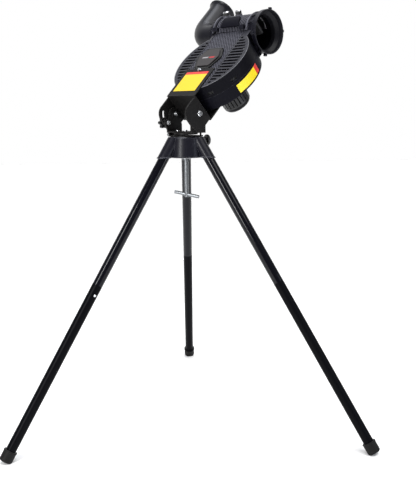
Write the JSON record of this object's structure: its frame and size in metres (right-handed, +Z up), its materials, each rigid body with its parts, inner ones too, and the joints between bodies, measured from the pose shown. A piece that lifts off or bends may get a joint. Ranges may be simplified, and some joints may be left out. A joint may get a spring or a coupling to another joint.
{
  "type": "baseball pitching machine",
  "caption": "Single-wheel ball pitching machine with feed elbow and barrel on a panning, tilting and rolling yoke over a three-legged stand.",
  "frame": {"origin": "on the floor under the middle of the three feet", "axes": "+Z up; rear leg towards +Y; front legs towards -Y, left at -X and right at +X"},
  "size_m": [1.1378, 0.9908, 1.4078],
  "materials": {
    "hub_gloss": "gloss black enamel on a casting",
    "leg_gloss": "gloss black enamel",
    "leg_satin": "satin black enamel",
    "foot_rubber": "moulded",
    "zinc": "bright plated",
    "rod_steel": "plated, threaded",
    "knob_black": "moulded",
    "plate_black": "powder coat",
    "label_yellow": "printed film",
    "case_black": "moulded, fine texture",
    "badge_gloss": "semi-gloss moulding",
    "elbow_gloss": "smooth dark grey",
    "tyre": "soft tread",
    "wheel_alloy": "turned",
    "shaft_steel": "ground",
    "motor_black": "satin black",
    "rotor_iron": "laminated",
    "pad_rubber": "firm pad",
    "switch_red": "red rocker",
    "inlet_black": "moulded"
  },
  "bodies": {
    "tripod": {"tripod_hub": "hub_gloss", "leg_upper_left": "leg_gloss", "leg_upper_right": "leg_gloss", "leg_upper_rear": "leg_gloss", "leg_lower_left": "leg_satin", "leg_lower_right": "leg_satin", "leg_lower_rear": "leg_satin", "foot_cap_left": "foot_rubber", "foot_cap_right": "foot_rubber", "foot_cap_rear": "foot_rubber", "socket_screws": "zinc", "clamp_washer": "zinc"},
    "button_left": {"snap_button_left": "zinc"},
    "button_right": {"snap_button_right": "zinc"},
    "button_rear": {"snap_button_rear": "zinc"},
    "clamp": {"clamp_rod": "rod_steel", "clamp_bar": "rod_steel"},
    "pan_lock": {"pan_knob": "knob_black", "pan_screw": "zinc"},
    "swivel": {"swivel_base": "plate_black", "elevation_pin": "zinc"},
    "cradle": {"elevation_plate": "plate_black", "elevation_stop": "plate_black", "yoke": "plate_black", "yoke_bolts": "zinc", "pivot_bolts": "zinc", "yoke_nuts": "zinc"},
    "roll_lock": {"roll_lock_bolt": "zinc", "roll_lock_knob": "knob_black"},
    "head": {"head_bracket": "plate_black", "bracket_screws": "zinc", "front_label": "label_yellow", "front_cover": "case_black", "rear_cover": "case_black", "housing_screws": "zinc", "badge": "badge_gloss", "side_label": "label_yellow", "motor_can": "motor_black", "motor_cap": "motor_black", "shaft_bearings": "shaft_steel", "barrel_cover": "case_black", "pad_cover": "case_black", "pressure_pad": "pad_rubber", "pad_carrier": "shaft_steel", "corner_clips": "case_black", "muzzle_ring": "case_black", "feed_collar": "case_black", "control_box": "case_black", "switch_frame": "inlet_black", "power_inlet": "inlet_black"},
    "wheel": {"wheel_tyre": "tyre", "wheel_rim": "wheel_alloy", "wheel_shaft": "shaft_steel", "motor_rotor": "rotor_iron", "wheel_nut": "shaft_steel"},
    "feed": {"feed_elbow": "elbow_gloss"},
    "thumb_rear": {"thumb_knob_rear": "knob_black"},
    "thumb_front": {"thumb_knob_front": "knob_black"},
    "switch": {"rocker_switch": "switch_red"},
    "dial": {"speed_dial": "knob_black"}
  },
  "joints": [
    {"name": "press_button_left", "type": "slide", "parent": "tripod", "child": "button_left", "axis": [-0.5, 0.866, 0], "range_m": [0, 0.0035], "stiffness_N_per_m": 900, "springref_m": -0.002},
    {"name": "press_button_right", "type": "slide", "parent": "tripod", "child": "button_right", "axis": [-0.5, -0.866, 0], "range_m": [0, 0.0035], "stiffness_N_per_m": 900, "springref_m": -0.002},
    {"name": "press_button_rear", "type": "slide", "parent": "tripod", "child": "button_rear", "axis": [1, 0, 0], "range_m": [0, 0.0035], "stiffness_N_per_m": 900, "springref_m": -0.002},
    {"name": "turn_clamp_bar", "type": "hinge", "parent": "tripod", "child": "clamp", "pos_m": [0, -0.15804, 0.838], "axis": [0, 0, 1], "range_deg": [0, 360]},
    {"name": "turn_pan_knob", "type": "hinge", "parent": "tripod", "child": "pan_lock", "pos_m": [0.06357, -0.12424, 0.93], "axis": [0.8829, 0.4695, 0], "range_deg": [0, 360]},
    {"name": "pan", "type": "hinge", "parent": "tripod", "child": "swivel", "pos_m": [0, -0.15804, 0.943], "axis": [0, 0, 1], "continuous": true},
    {"name": "elevate", "type": "hinge", "parent": "swivel", "child": "cradle", "pos_m": [-0.03418, -0.12154, 0.9494], "axis": [-0.7299, -0.6835, 0], "range_deg": [0, 10]},
    {"name": "turn_roll_knob", "type": "hinge", "parent": "cradle", "child": "roll_lock", "pos_m": [-0.06475, -0.1351, 0.98676], "axis": [-0.6835, 0.7299, 0], "range_deg": [0, 360]},
    {"name": "roll", "type": "hinge", "parent": "cradle", "child": "head", "pos_m": [0.00103, -0.15913, 1.0152], "axis": [0.6835, -0.7299, 0], "range_deg": [-25, 46.7]},
    {"name": "wheel_spin", "type": "hinge", "parent": "head", "child": "wheel", "pos_m": [0.1059, -0.08038, 1.14864], "axis": [-0.5006, -0.4688, 0.7278], "continuous": true},
    {"name": "feed_turn", "type": "hinge", "parent": "head", "child": "feed", "pos_m": [0.13257, 0.08118, 1.27106], "axis": [0.6835, -0.7299, 0], "range_deg": [-90, 90]},
    {"name": "turn_thumb_rear", "type": "hinge", "parent": "head", "child": "thumb_rear", "pos_m": [0.14333, 0.04399, 1.3353], "axis": [-0.1926, -0.1804, 0.9646], "range_deg": [0, 360]},
    {"name": "turn_thumb_front", "type": "hinge", "parent": "head", "child": "thumb_front", "pos_m": [0.18092, 0.00384, 1.3353], "axis": [-0.1926, -0.1804, 0.9646], "range_deg": [0, 360]},
    {"name": "rock_switch", "type": "hinge", "parent": "head", "child": "switch", "pos_m": [0.10652, 0.0472, 1.12064], "axis": [0.6835, -0.7299, 0], "range_deg": [0, 12]},
    {"name": "turn_dial", "type": "hinge", "parent": "head", "child": "dial", "pos_m": [0.12368, 0.03039, 1.11955], "axis": [0.5006, 0.4688, -0.7278], "range_deg": [-150, 150]}
  ]
}
